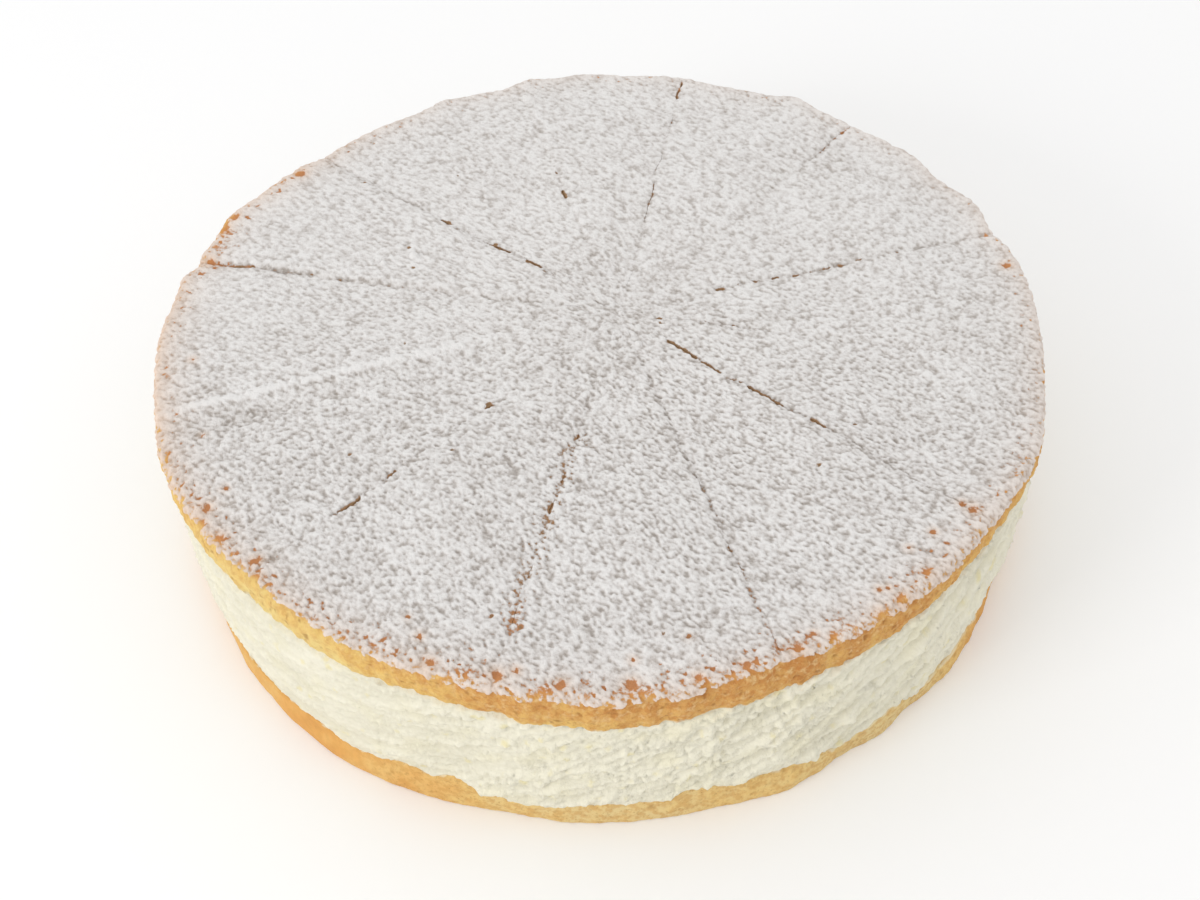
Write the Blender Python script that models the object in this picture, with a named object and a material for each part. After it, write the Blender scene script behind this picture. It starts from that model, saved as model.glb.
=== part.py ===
"""Quark cream cake.

A thin sponge base, a thick band of set quark cream and a sponge lid. The lid was cut into
wedges before it was laid on, so every cut stops at the cream, which is whole. The wedges
lie together and still keep the cake's round shape.

The origin is on the table under the middle of the cake. +Z is up, and the side that shows
best faces -Y. Lengths are in metres. Angles are in degrees, counter-clockwise from +X.
"""

import math

import bpy
import numpy as np

GAP = 0.0003  # left between two solids that touch

# The whole cake: a 28 cm ring, about 6.6 cm tall.
CAKE_RADIUS = 0.140
CAKE_HEIGHT = 0.0664
BASE_HEIGHT = 0.0095
LID_THICKNESS = 0.0128
CREAM_TOP = CAKE_HEIGHT - LID_THICKNESS - GAP
SEGMENTS = 180  # points round the base and the cream

# The base's outline and the height of its upper edge. Each row is an angle and the value
# there, and a smooth closed curve runs through the rows. The curve turns most at the front,
# where the base was squeezed out and its edge is torn.
BASE_OUTLINE = (
    (20, 0.1402), (60, 0.1400), (100, 0.1405), (140, 0.1398), (180, 0.1400), (205, 0.1396),
    (212, 0.1409), (226, 0.1417), (235, 0.1423), (246, 0.1412), (256, 0.1401), (263, 0.1412),
    (281, 0.1408), (290, 0.1424), (298, 0.1397), (304, 0.1407), (309, 0.1395), (317, 0.1411),
    (331, 0.1390), (345, 0.1398),
)
BASE_EDGE = (
    (30, 0.0100), (80, 0.0090), (130, 0.0102), (180, 0.0095), (205, 0.0096), (213, 0.0126),
    (218, 0.0098), (231, 0.0110), (236, 0.0087), (244, 0.0142), (247, 0.0125), (250, 0.0162),
    (254, 0.0106), (260, 0.0078), (270, 0.0101), (275, 0.0099), (278, 0.0152), (284, 0.0110),
    (290, 0.0110), (298, 0.0078), (305, 0.0114), (310, 0.0073), (320, 0.0120), (332, 0.0100),
    (350, 0.0094),
)
BASE_OUTLINE_RIPPLE = 0.00025
BASE_EDGE_RIPPLE = 0.0003
BASE_EDGE_ROUNDING = 0.0012
BASE_SEAM_INSET = 0.0026  # how far inside the outline the base meets the cream

# The cream's wall: nearly upright, smeared and cragged by the knife that freed the ring.
CREAM_OUTLINE = (
    (20, 0.1398), (60, 0.1400), (100, 0.1397), (122, 0.1390), (140, 0.1392), (170, 0.1400),
    (216, 0.1400), (245, 0.1405), (262, 0.1407), (290, 0.1404), (314, 0.1399), (334, 0.1414),
    (348, 0.1402),
)
CREAM_ROWS = 8
CREAM_SMEAR = 0.00045
CREAM_CRAG = 0.00075
CREAM_CRAG_ANGLE = 276.0  # the roughest stretch faces the front
CREAM_CRAG_HALF_WIDTH = 34.0
CREAM_LEAN = 60.0  # how fast the smears and crags slant: radians for each metre of height
CREAM_EDGE_ROUNDING = 0.0007

# The lid. The cuts meet a little off the cake's own centre.
CUT_CENTRE = (0.00775, 0.0022)
KERF = 0.0006
WEDGE_SEGMENTS = 15
WEDGE_ROW_FRACTIONS = (0.16, 0.36, 0.58, 0.79)
LID_RIM = 0.006  # the outer part of the lid that rounds over
LID_SWELL = 0.00035
LIFT_FADE = 0.055  # distance from the cut centre over which a wedge's tilt grows

# Each cut: its angle, and how much higher or lower than the lid the crust is just before it
# and just after it. Each wedge lies between one cut and the next.
CUTS = (
    (14.0, -0.0001, 0.0002),
    (47.0, -0.0002, 0.0003),
    (77.0, 0.0002, -0.0002),
    (104.0, 0.0003, -0.0005),
    (138.0, -0.0010, 0.0002),
    (164.5, 0.0006, -0.0005),
    (194.5, 0.0006, -0.0005),
    (222.5, 0.0000, 0.0003),
    (253.8, 0.0001, -0.0001),
    (285.0, 0.0002, -0.0002),
    (317.0, 0.0003, -0.0003),
    (346.0, -0.0002, 0.0001),
)

# How far the crust reaches from the cake's axis, with the places where it stands out over
# the cream or was torn back.
LID_OUTLINE = (
    (2, 0.1407), (10, 0.1412), (15, 0.1397), (20, 0.1420), (28, 0.1385), (35, 0.1408),
    (46, 0.1387), (56, 0.1420), (60, 0.1389), (70, 0.1387), (76, 0.1402), (90, 0.1417),
    (103, 0.1383), (112, 0.1402), (118, 0.1373), (129, 0.1379), (136, 0.1365), (147, 0.1386),
    (153, 0.1420), (160, 0.1403), (166, 0.1425), (170, 0.1408), (194, 0.1395), (198, 0.1402),
    (219, 0.1390), (225, 0.1388), (240, 0.1399), (257, 0.1400), (260, 0.1417), (268, 0.1423),
    (278, 0.1422), (288, 0.1404), (302, 0.1401), (316, 0.1394), (324, 0.1400), (335, 0.1418),
    (340, 0.1405), (354, 0.1396),
)

# Colours as the eye sees them (sRGB, 0 to 1) with roughness.
BASE_COLOUR = (0.84, 0.68, 0.40)
BASE_ROUGHNESS = 0.85
CREAM_COLOUR = (0.93, 0.92, 0.84)
CREAM_ROUGHNESS = 0.45
SUGAR_COLOUR = (0.87, 0.86, 0.84)
SUGAR_ROUGHNESS = 0.95


def clear_scene():
    for item in list(bpy.data.objects):
        bpy.data.objects.remove(item, do_unlink=True)


def linear(channel):
    """One sRGB channel as the linear value that a shader socket takes."""
    if channel <= 0.04045:
        return channel / 12.92
    return ((channel + 0.055) / 1.055) ** 2.4


def food_material(name, colour, roughness):
    material = bpy.data.materials.new(name)
    material.use_nodes = True
    shader = material.node_tree.nodes["Principled BSDF"]
    shader.inputs["Base Color"].default_value = (*(linear(c) for c in colour), 1.0)
    shader.inputs["Roughness"].default_value = roughness
    shader.inputs["Metallic"].default_value = 0.0
    return material


def ripple(angle, seed, slowest, fastest, size):
    """Wavy line that closes round the cake: cosines of every whole frequency from slowest
    to fastest, each with its own phase, scaled to a root mean square of size."""
    rng = np.random.default_rng(seed)
    frequencies = np.arange(slowest, fastest + 1)
    phases = rng.uniform(0.0, 2.0 * math.pi, frequencies.size)
    waves = np.cos(np.multiply.outer(angle, frequencies) + phases)
    return size * waves.sum(axis=-1) / math.sqrt(frequencies.size / 2.0)


def through(angle, table):
    """Closed curve through rows of angle in degrees and value: between two rows it goes
    3t^2 - 2t^3 of the way from one to the next."""
    knots = np.array((table[-1], *table, table[0]), dtype=float)
    knots[0, 0] -= 360.0
    knots[-1, 0] += 360.0
    degrees = np.degrees(angle) % 360.0
    row = np.searchsorted(knots[:, 0], degrees, side="right") - 1
    share = (degrees - knots[row, 0]) / (knots[row + 1, 0] - knots[row, 0])
    share = share * share * (3.0 - 2.0 * share)
    return knots[row, 1] + share * (knots[row + 1, 1] - knots[row, 1])


def ring(angle, radius, height):
    """Points at one radius and height, or at one of each for every angle."""
    radius = np.broadcast_to(radius, angle.shape)
    height = np.broadcast_to(height, angle.shape)
    return np.column_stack((radius * np.cos(angle), radius * np.sin(angle), height))


def make_object(name, points, triangles, material):
    mesh = bpy.data.meshes.new(name)
    mesh.from_pydata(points.tolist(), [], triangles.tolist())
    mesh.materials.append(material)
    mesh.shade_smooth()
    mesh.set_sharp_from_angle(angle=math.radians(40.0))
    item = bpy.data.objects.new(name, mesh)
    bpy.context.scene.collection.objects.link(item)
    return item


def round_body(name, rings, material):
    """Closed body from rings that run from the middle of its underside, out and up its
    side, to the middle of its top. Between two rings each diagonal joins a point of the
    wider ring to the next point of the narrower one, so that two bodies with the same
    rings where they meet have the same facets there."""
    count = len(rings[0])
    here = np.arange(count)
    following = np.roll(here, -1)
    low_pole = 0
    high_pole = 1 + count * len(rings)
    low_centre = (0.0, 0.0, rings[0][:, 2].mean())
    high_centre = (0.0, 0.0, rings[-1][:, 2].mean())
    points = np.vstack([low_centre, *rings, high_centre])

    triangles = [np.column_stack((np.full(count, low_pole), 1 + following, 1 + here))]
    for index in range(len(rings) - 1):
        first = 1 + index * count
        second = first + count
        widening = np.ptp(rings[index + 1][:, 0]) > np.ptp(rings[index][:, 0])
        if widening:
            triangles.append(np.column_stack((first + here, first + following, second + here)))
            triangles.append(
                np.column_stack((first + following, second + following, second + here))
            )
        else:
            triangles.append(
                np.column_stack((first + here, first + following, second + following))
            )
            triangles.append(np.column_stack((first + here, second + following, second + here)))
    last = 1 + (len(rings) - 1) * count
    triangles.append(
        np.column_stack((last + here, last + following, np.full(count, high_pole)))
    )
    return make_object(name, points, np.vstack(triangles), material)


def base_outline(angle):
    return through(angle, BASE_OUTLINE) + ripple(angle, 11, 12, 30, BASE_OUTLINE_RIPPLE)


def base_edge_height(angle):
    """Height of the base's upper edge, where the cream starts."""
    return through(angle, BASE_EDGE) + ripple(angle, 12, 12, 40, BASE_EDGE_RIPPLE)


def cream_relief(angle, height):
    """Depth of the wall's smears and crags: long waves that slant along the wall, and
    shorter ones, broken up over the height, that are strongest at the front."""
    slant = CREAM_LEAN * height
    smear = ripple(angle + 0.13 * slant, 22, 8, 20, CREAM_SMEAR)
    crag = ripple(angle - 0.05 * slant, 23, 16, 36, CREAM_CRAG)
    crag = crag * np.cos(3.0 * slant + ripple(angle, 24, 3, 9, 1.5))
    away = (angle - math.radians(CREAM_CRAG_ANGLE) + math.pi) % (2.0 * math.pi) - math.pi
    front = np.exp(-((away / math.radians(CREAM_CRAG_HALF_WIDTH)) ** 2))
    return smear + crag * (0.35 + 0.65 * front)


def seam_radius(angle):
    """Where base and cream stop sharing their surface and round off."""
    outline = np.minimum(base_outline(angle), through(angle, CREAM_OUTLINE))
    return outline - BASE_SEAM_INSET


def seam_rings(angle, raised):
    """The surface between base and cream, from the middle out to the seam."""
    return [
        ring(angle, 0.50 * CAKE_RADIUS, BASE_HEIGHT + raised),
        ring(angle, 0.90 * CAKE_RADIUS, BASE_HEIGHT + raised),
        ring(angle, seam_radius(angle), base_edge_height(angle) + raised),
    ]


def build_base(material):
    angle = np.arange(SEGMENTS) * 2.0 * math.pi / SEGMENTS
    outline = base_outline(angle)
    edge = base_edge_height(angle)
    rounding = BASE_EDGE_ROUNDING
    side = [
        ring(angle, 0.60 * outline, 0.0),
        ring(angle, outline - rounding, 0.0),
        ring(angle, outline - 0.3 * rounding, 0.6 * rounding),
        ring(angle, outline, 0.38 * edge),
        ring(angle, outline - 0.2 * rounding, 0.72 * edge),
        ring(angle, outline - rounding, edge - 0.5 * rounding),
    ]
    return round_body("base_sponge", side + seam_rings(angle, 0.0)[::-1], material)


def build_cream(material):
    angle = np.arange(SEGMENTS) * 2.0 * math.pi / SEGMENTS
    outline = through(angle, CREAM_OUTLINE)
    rounding = CREAM_EDGE_ROUNDING
    foot = base_edge_height(angle) + GAP + rounding
    wall = []
    for row in range(CREAM_ROWS):
        share = row / (CREAM_ROWS - 1)
        height = foot + share * (CREAM_TOP - rounding - foot)
        wall.append(ring(angle, outline + cream_relief(angle, height), height))
    top = [
        ring(angle, outline - rounding, CREAM_TOP),
        ring(angle, 0.60 * CAKE_RADIUS, CREAM_TOP),
    ]
    return round_body("quark_cream", seam_rings(angle, GAP) + wall + top, material)


def lid_swell(x, y):
    """Slow rise and fall of the baked top: a few long waves in different directions."""
    total = np.zeros_like(x)
    rng = np.random.default_rng(31)
    for wave in range(6):
        heading = rng.uniform(0.0, math.pi)
        length = rng.uniform(0.045, 0.095)
        phase = rng.uniform(0.0, 2.0 * math.pi)
        along = x * math.cos(heading) + y * math.sin(heading)
        total = total + np.cos(2.0 * math.pi * along / length + phase)
    return LID_SWELL * total / math.sqrt(3.0)


def distance_to_outline(tip, headings):
    """How far a ray from the tip runs before it is at the lid's outline. The outline is
    read at the angle where the ray leaves the plain round of the cake."""
    along = tip[0] * np.cos(headings) + tip[1] * np.sin(headings)
    across = tip[0] * np.sin(headings) - tip[1] * np.cos(headings)
    leaves_at = headings - np.arcsin(across / CAKE_RADIUS)
    return np.sqrt(through(leaves_at, LID_OUTLINE) ** 2 - across**2) - along


def build_wedge(name, cut_before, cut_after, material):
    """One wedge of the lid. Rows of points run from its tip to its rim along the top,
    over the rim, down its side and back underneath. Both cut faces are flat."""
    start = math.radians(cut_before[0])
    end = math.radians(cut_after[0])
    if end < start:
        end += 2.0 * math.pi
    lift_start = cut_before[2]
    lift_end = cut_after[1]
    middle = 0.5 * (start + end)
    setback = 0.5 * KERF / math.sin(0.5 * (end - start))
    tip = (
        CUT_CENTRE[0] + setback * math.cos(middle),
        CUT_CENTRE[1] + setback * math.sin(middle),
    )
    share = np.linspace(0.0, 1.0, WEDGE_SEGMENTS + 1)
    headings = start + share * (end - start)
    length = distance_to_outline(tip, headings)
    lift = lift_start + share * (lift_end - lift_start)

    def row(distance, height_share, drop):
        """Points at one distance along every ray: height_share 1 is the top of the lid and
        0 its underside, and drop is taken off that."""
        x = tip[0] + distance * np.cos(headings)
        y = tip[1] + distance * np.sin(headings)
        tilt = lift * np.clip(distance / LIFT_FADE, 0.0, 1.0)
        top = CAKE_HEIGHT + tilt + lid_swell(x, y)
        underside = CREAM_TOP + GAP
        return np.column_stack((x, y, underside + height_share * (top - underside) - drop))

    distances = [fraction * length for fraction in WEDGE_ROW_FRACTIONS]
    distances.append(length - LID_RIM)
    top_rows = [row(distance, 1.0, 0.0) for distance in distances]
    rim_rows = [
        row(length - 0.0026, 1.0, 0.00030),
        row(length - 0.0009, 1.0, 0.00120),
        row(length - 0.0001, 0.74, 0.0),
        row(length + 0.0002, 0.42, 0.0),
        row(length - 0.0004, 0.08, 0.0),
        row(length - 0.0013, 0.0, 0.0),
    ]
    under_rows = [row(distance, 0.0, 0.0) for distance in distances]
    top_tip = (tip[0], tip[1], CAKE_HEIGHT)
    under_tip = (tip[0], tip[1], CREAM_TOP + GAP)
    points = np.vstack([top_tip, *top_rows, *rim_rows, *under_rows[::-1], under_tip])
    triangles = wedge_triangles(len(top_rows), len(rim_rows))
    return make_object(name, points, triangles, material)


def wedge_triangles(top_count, rim_count):
    """Faces of a wedge whose rows are numbered as build_wedge lists them."""
    width = WEDGE_SEGMENTS + 1
    row_count = 2 * top_count + rim_count
    under_tip = 1 + row_count * width
    left = np.arange(WEDGE_SEGMENTS)
    right = left + 1
    tip_column = np.zeros(WEDGE_SEGMENTS, dtype=int)

    triangles = [np.column_stack((tip_column, 1 + left, 1 + right))]
    for index in range(row_count - 1):
        near = 1 + index * width
        far = near + width
        triangles.append(np.column_stack((near + left, far + left, far + right)))
        triangles.append(np.column_stack((near + left, far + right, near + right)))
    last = 1 + (row_count - 1) * width
    triangles.append(np.column_stack((last + left, tip_column + under_tip, last + right)))

    for column in (0, WEDGE_SEGMENTS):
        numbers = [1 + index * width + column for index in range(row_count)]
        above = [0] + numbers[:top_count]
        below = [under_tip] + numbers[: -top_count - 1 : -1]
        rim = numbers[top_count : top_count + rim_count]
        face = []
        for index in range(top_count):
            face.append((above[index], below[index], below[index + 1]))
            face.append((above[index], below[index + 1], above[index + 1]))
        outline = [above[-1]] + rim
        for first, second in zip(outline, outline[1:]):
            face.append((below[-1], second, first))
        face = np.array(face)
        if column:
            face = face[:, ::-1]
        triangles.append(face)
    return np.vstack(triangles)


clear_scene()
base_material = food_material("base_sponge", BASE_COLOUR, BASE_ROUGHNESS)
cream_material = food_material("quark_cream", CREAM_COLOUR, CREAM_ROUGHNESS)
lid_material = food_material("sugared_sponge", SUGAR_COLOUR, SUGAR_ROUGHNESS)
build_base(base_material)
build_cream(cream_material)
for number, cut_before in enumerate(CUTS, start=1):
    cut_after = CUTS[number % len(CUTS)]
    build_wedge(f"lid_wedge_{number:02d}", cut_before, cut_after, lid_material)
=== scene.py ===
import collections
import itertools
import math
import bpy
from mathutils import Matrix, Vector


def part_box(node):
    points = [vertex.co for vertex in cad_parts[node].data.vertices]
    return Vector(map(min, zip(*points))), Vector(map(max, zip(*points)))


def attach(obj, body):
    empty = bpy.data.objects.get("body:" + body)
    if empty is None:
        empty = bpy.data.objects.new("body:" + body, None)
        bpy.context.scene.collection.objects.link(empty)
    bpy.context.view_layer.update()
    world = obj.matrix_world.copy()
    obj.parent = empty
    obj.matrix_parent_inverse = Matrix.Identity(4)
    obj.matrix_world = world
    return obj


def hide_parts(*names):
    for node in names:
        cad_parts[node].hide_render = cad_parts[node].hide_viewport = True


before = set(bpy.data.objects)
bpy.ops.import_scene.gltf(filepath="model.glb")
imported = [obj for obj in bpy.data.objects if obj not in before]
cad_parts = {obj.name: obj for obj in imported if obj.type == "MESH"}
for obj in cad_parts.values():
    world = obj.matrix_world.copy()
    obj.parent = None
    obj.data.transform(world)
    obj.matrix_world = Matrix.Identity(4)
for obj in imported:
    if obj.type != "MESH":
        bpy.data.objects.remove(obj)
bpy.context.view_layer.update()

import types

import bpy
import numpy as np
from mathutils import Matrix, Vector

MM = 0.001

# ---------------------------------------------------------------------------------------
# The view: the cake seen from above and in front, at arm's length, with the camera tipped
# a few degrees to its left. The light is soft and a little stronger from the left front.
# ---------------------------------------------------------------------------------------
CAMERA_PLACE = Vector((0.0, -0.3331, 0.3721))
CAMERA_DIP = math.radians(47.84)
CAMERA_TURN = math.radians(-0.14)
CAMERA_ROLL = math.radians(3.14)
CAMERA_LENS_MM = 42.26
SENSOR_WIDTH_MM = 36.0

straight_up = Vector((0.0, 0.0, 1.0))
level_right = Vector((math.cos(CAMERA_TURN), -math.sin(CAMERA_TURN), 0.0))
level_ahead = Vector((math.sin(CAMERA_TURN), math.cos(CAMERA_TURN), 0.0))
view_ahead = level_ahead * math.cos(CAMERA_DIP) - straight_up * math.sin(CAMERA_DIP)
view_above = level_ahead * math.sin(CAMERA_DIP) + straight_up * math.cos(CAMERA_DIP)
camera_right = level_right * math.cos(CAMERA_ROLL) - view_above * math.sin(CAMERA_ROLL)
camera_up = level_right * math.sin(CAMERA_ROLL) + view_above * math.cos(CAMERA_ROLL)

camera_data = bpy.data.cameras.new("counter_view")
camera_data.lens = CAMERA_LENS_MM
camera_data.sensor_width = SENSOR_WIDTH_MM
camera_data.clip_start = 0.01
camera = bpy.data.objects.new("counter_view", camera_data)
bpy.context.scene.collection.objects.link(camera)
turned = Matrix((camera_right, camera_up, -view_ahead)).transposed().to_4x4()
camera.matrix_world = Matrix.Translation(CAMERA_PLACE) @ turned
bpy.context.scene.camera = camera
bpy.context.scene.view_settings.view_transform = "Standard"

WORLD_LIGHT = 0.96
world = bpy.data.worlds.new("bright_room")
world.use_nodes = True
world.node_tree.nodes["Background"].inputs["Color"].default_value = (1.0, 1.0, 1.0, 1.0)
world.node_tree.nodes["Background"].inputs["Strength"].default_value = WORLD_LIGHT
bpy.context.scene.world = world

WINDOW_PLACE = Vector((-1.15, -0.80, 0.66))
window_data = bpy.data.lights.new("window", "AREA")
window_data.size = 0.55
window_data.energy = 5.6
window = bpy.data.objects.new("window", window_data)
window.location = WINDOW_PLACE
window.rotation_euler = (-WINDOW_PLACE).to_track_quat("-Z", "Y").to_euler()
bpy.context.scene.collection.objects.link(window)

FLOOR_HALF_WIDTH = 1.6
floor_mesh = bpy.data.meshes.new("floor")
floor_corners = np.array(((-1, -1, 0), (1, -1, 0), (1, 1, 0), (-1, 1, 0))) * FLOOR_HALF_WIDTH
floor_mesh.from_pydata(floor_corners.tolist(), [], [(0, 1, 2, 3)])
floor = bpy.data.objects.new("floor", floor_mesh)
bpy.context.scene.collection.objects.link(floor)
floor_finish = bpy.data.materials.new("pale_floor")
floor_finish.use_nodes = True
floor_shader = floor_finish.node_tree.nodes["Principled BSDF"]
floor_shader.inputs["Base Color"].default_value = (0.95, 0.95, 0.95, 1.0)
floor_shader.inputs["Roughness"].default_value = 0.9
floor_shader.inputs["Specular IOR Level"].default_value = 0.2
floor_mesh.materials.append(floor_finish)

# ---------------------------------------------------------------------------------------
# The base: a disc of thin sponge about 1 cm thick, cut to the ring. Its outline and its
# upper edge are uneven, its left front is a smooth browned edge and the rest open crumb.
# ---------------------------------------------------------------------------------------
RING_RADIUS = 140.0 * MM  # the ring's, on which grain round the cake is laid
BASE_HEIGHT = 9.5 * MM
BASE_ROUNDING = 0.6 * MM
BASE_MEETS_CREAM = 140.5 * MM  # where the foot stands out past this, its side leans back to it
BASE_COLUMNS = 1500
BASE_SIDE_ROWS = 34
# Outline and upper edge: angle round the cake in degrees, then radius or height in mm.
BASE_OUTLINE = (
    (20, 140.2), (60, 140.0), (100, 140.5), (140, 139.8), (180, 140.0), (205, 139.5),
    (211, 139.9), (215, 140.9), (220, 141.0), (226, 141.7), (235, 142.3), (241, 141.9),
    (246, 141.2), (256, 140.1), (260, 140.4), (263, 141.2), (276, 141.0), (281, 140.8),
    (285, 141.3), (290, 142.4), (293, 141.3), (298, 139.7), (304, 140.7), (309, 139.5),
    (312.5, 140.3), (317, 141.1), (321, 140.5), (327, 139.7), (331, 139.0), (336, 139.3),
    (345, 139.8),
)
BASE_EDGE = (
    (30, 10.0), (80, 9.0), (130, 10.2), (180, 9.5), (205, 9.6), (213, 12.6), (217.5, 9.8),
    (222, 9.5), (231.5, 11.0), (236, 8.7), (240, 10.5), (243.5, 14.2), (247.5, 12.5),
    (250.3, 16.4), (254, 10.6), (259.5, 7.8), (264, 9.1), (270, 10.1), (275, 9.9),
    (278, 15.2), (281, 13.0), (284, 11.0), (290, 11.0), (294, 9.9), (297.5, 7.8),
    (305, 11.4), (310, 7.3), (315, 8.3), (320, 12.0), (325, 11.5), (332, 10.0), (350, 9.4),
)
# How brown the edge is, how much of it is smooth skin instead of crumb, and how far a
# thin film of cream covers its upper part, in mm.
BASE_TOAST = (
    (30, 0.40), (100, 0.45), (180, 0.50), (205, 0.52), (218, 0.54), (232, 0.68), (240, 0.52),
    (249, 0.48), (257, 0.24), (268, 0.14), (275, 0.12), (280, 0.24), (290, 0.26), (302, 0.04),
    (312, 0.12), (319, 0.44), (325, 0.66), (335, 0.50),
)
BASE_SKIN = ((100, 0.2), (190, 0.5), (212, 1.0), (236, 1.0), (243, 0.1), (320, 0.0))
BASE_FILM = (
    (100, 0.9), (200, 0.5), (216, 0.1), (240, 0.1), (246, 0.6), (290, 0.7), (300, 1.3),
    (318, 1.6), (332, 0.9),
)


def step(value, low, high):
    """Smooth step: 0 below low, 1 above high, and 3t^2 - 2t^3 between."""
    t = np.clip((value - low) / (high - low), 0.0, 1.0)
    return t * t * (3.0 - 2.0 * t)


def through(angle, table):
    """Closed curve through rows of angle in degrees and value: between two rows it goes
    3t^2 - 2t^3 of the way from one to the next."""
    knots = np.array((table[-1], *table, table[0]), dtype=float)
    knots[0, 0] -= 360.0
    knots[-1, 0] += 360.0
    degrees = np.degrees(angle) % 360.0
    row = np.clip(np.searchsorted(knots[:, 0], degrees, side="right") - 1, 0, len(knots) - 2)
    share = (degrees - knots[row, 0]) / (knots[row + 1, 0] - knots[row, 0])
    return knots[row, 1] + step(share, 0.0, 1.0) * (knots[row + 1, 1] - knots[row, 1])


def grain(points, cell, seed):
    """Random relief through space, about -1 to 1: a random slope at each corner of a
    lattice of the given cell (one length, or one for each axis), each corner's slope
    blended over its cells by 6t^5 - 15t^4 + 10t^3."""
    scaled = points / np.asarray(cell)
    corner = np.floor(scaled).astype(np.int64)
    inside = scaled - corner
    fade = inside**3 * (inside * (inside * 6.0 - 15.0) + 10.0)
    total = np.zeros(points.shape[:-1])
    for offset in itertools.product((0, 1), repeat=3):
        near = corner + np.array(offset)
        mixed = near[..., 0] * 73856093 ^ near[..., 1] * 19349663 ^ near[..., 2] * 83492791
        mixed = (mixed + seed * 2654435761) & 0xFFFFFFFF
        mixed = ((mixed >> 15) ^ mixed) * 0x2C1B3C6D & 0xFFFFFFFF
        mixed = ((mixed >> 12) ^ mixed) * 0x297A2D39 & 0xFFFFFFFF
        mixed = (mixed >> 15) ^ mixed
        weight = np.ones(points.shape[:-1])
        slope = np.zeros(points.shape[:-1])
        for axis in range(3):
            part = fade[..., axis]
            weight *= part if offset[axis] else 1.0 - part
            slant = ((mixed >> (10 * axis)) & 1023) / 511.5 - 1.0
            slope += slant * (inside[..., axis] - offset[axis])
        total += weight * slope
    return total * 1.35


def polar(angle, radius, height):
    """Grid of points from angles round the cake's axis, radii and heights."""
    angle, radius, height = np.broadcast_arrays(angle, radius, height)
    return np.stack((radius * np.cos(angle), radius * np.sin(angle), height), axis=-1)


def outward(grid):
    """Unit normal at each point of a grid that closes round the cake: the cross product
    of its steps round the cake and along its rows."""
    around = np.roll(grid, -1, axis=1) - np.roll(grid, 1, axis=1)
    normal = np.cross(around, np.gradient(grid, axis=0))
    length = np.linalg.norm(normal, axis=-1, keepdims=True)
    return normal / np.maximum(length, 1e-12)


def crumb_relief(points, seed):
    """Height of cut or torn sponge: three sizes of grain, less the pores where the finest
    and a fourth grain are both high. Gives the pores as well, 0 to 1."""
    fine = grain(points, 1.1 * MM, seed)
    pores = step(grain(points, 2.4 * MM, seed + 1) + 0.7 * fine, 0.30, 0.85)
    relief = 0.22 * fine + 0.28 * grain(points, 2.6 * MM, seed + 2)
    relief = relief + 0.30 * grain(points, 6.0 * MM, seed + 3)
    return (relief - 0.22 * pores) * MM, pores


def finished_mesh(name, points, faces):
    """Smooth-shaded object from points and a list of face arrays, one for each number of
    corners."""
    corners = np.concatenate([face.ravel() for face in faces])
    sizes = np.concatenate([np.full(len(face), face.shape[1]) for face in faces])
    starts = np.concatenate(([0], np.cumsum(sizes)[:-1]))
    mesh = bpy.data.meshes.new(name)
    mesh.vertices.add(len(points))
    mesh.vertices.foreach_set("co", points.astype(np.float32).ravel())
    mesh.loops.add(len(corners))
    mesh.loops.foreach_set("vertex_index", corners.astype(np.int32))
    mesh.polygons.add(len(sizes))
    mesh.polygons.foreach_set("loop_start", starts.astype(np.int32))
    mesh.update(calc_edges=True)
    mesh.shade_smooth()
    piece = bpy.data.objects.new(name, mesh)
    bpy.context.scene.collection.objects.link(piece)
    return piece


def store_mark(piece, mark, values):
    """Keeps one number for each point, for the finish to read by its name."""
    layer = piece.data.attributes.new(mark, "FLOAT", "POINT")
    layer.data.foreach_set("value", values.astype(np.float32))


def round_piece(name, grid, **marks):
    """Closed piece from a grid whose rows run from the middle of the underside, out, up
    and back to the middle of the top, with a point at each end. Each mark is an array
    over the grid."""
    rows, columns = grid.shape[:2]
    here = np.arange(rows * columns).reshape(rows, columns)
    beside = np.roll(here, -1, axis=1)
    sides = np.stack((here[:-1], beside[:-1], beside[1:], here[1:]), axis=-1).reshape(-1, 4)
    low_point = np.full(columns, rows * columns)
    high_point = low_point + 1
    low_fan = np.column_stack((low_point, beside[0], here[0]))
    high_fan = np.column_stack((high_point, here[-1], beside[-1]))
    points = np.vstack((grid.reshape(-1, 3), grid[0].mean(axis=0), grid[-1].mean(axis=0)))
    piece = finished_mesh(name, points, [sides, low_fan, high_fan])
    for mark, values in marks.items():
        values = np.broadcast_to(values, (rows, columns))
        ends = (values[0].mean(), values[-1].mean())
        store_mark(piece, mark, np.concatenate((values.ravel(), ends)))
    return piece


def colour(red, green, blue):
    """A colour given as 0 to 255 a channel, as the linear colour that a socket takes."""
    shares = np.array((red, green, blue)) / 255.0
    shares = np.where(shares <= 0.04045, shares / 12.92, ((shares + 0.055) / 1.055) ** 2.4)
    return (*shares.tolist(), 1.0)


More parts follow.
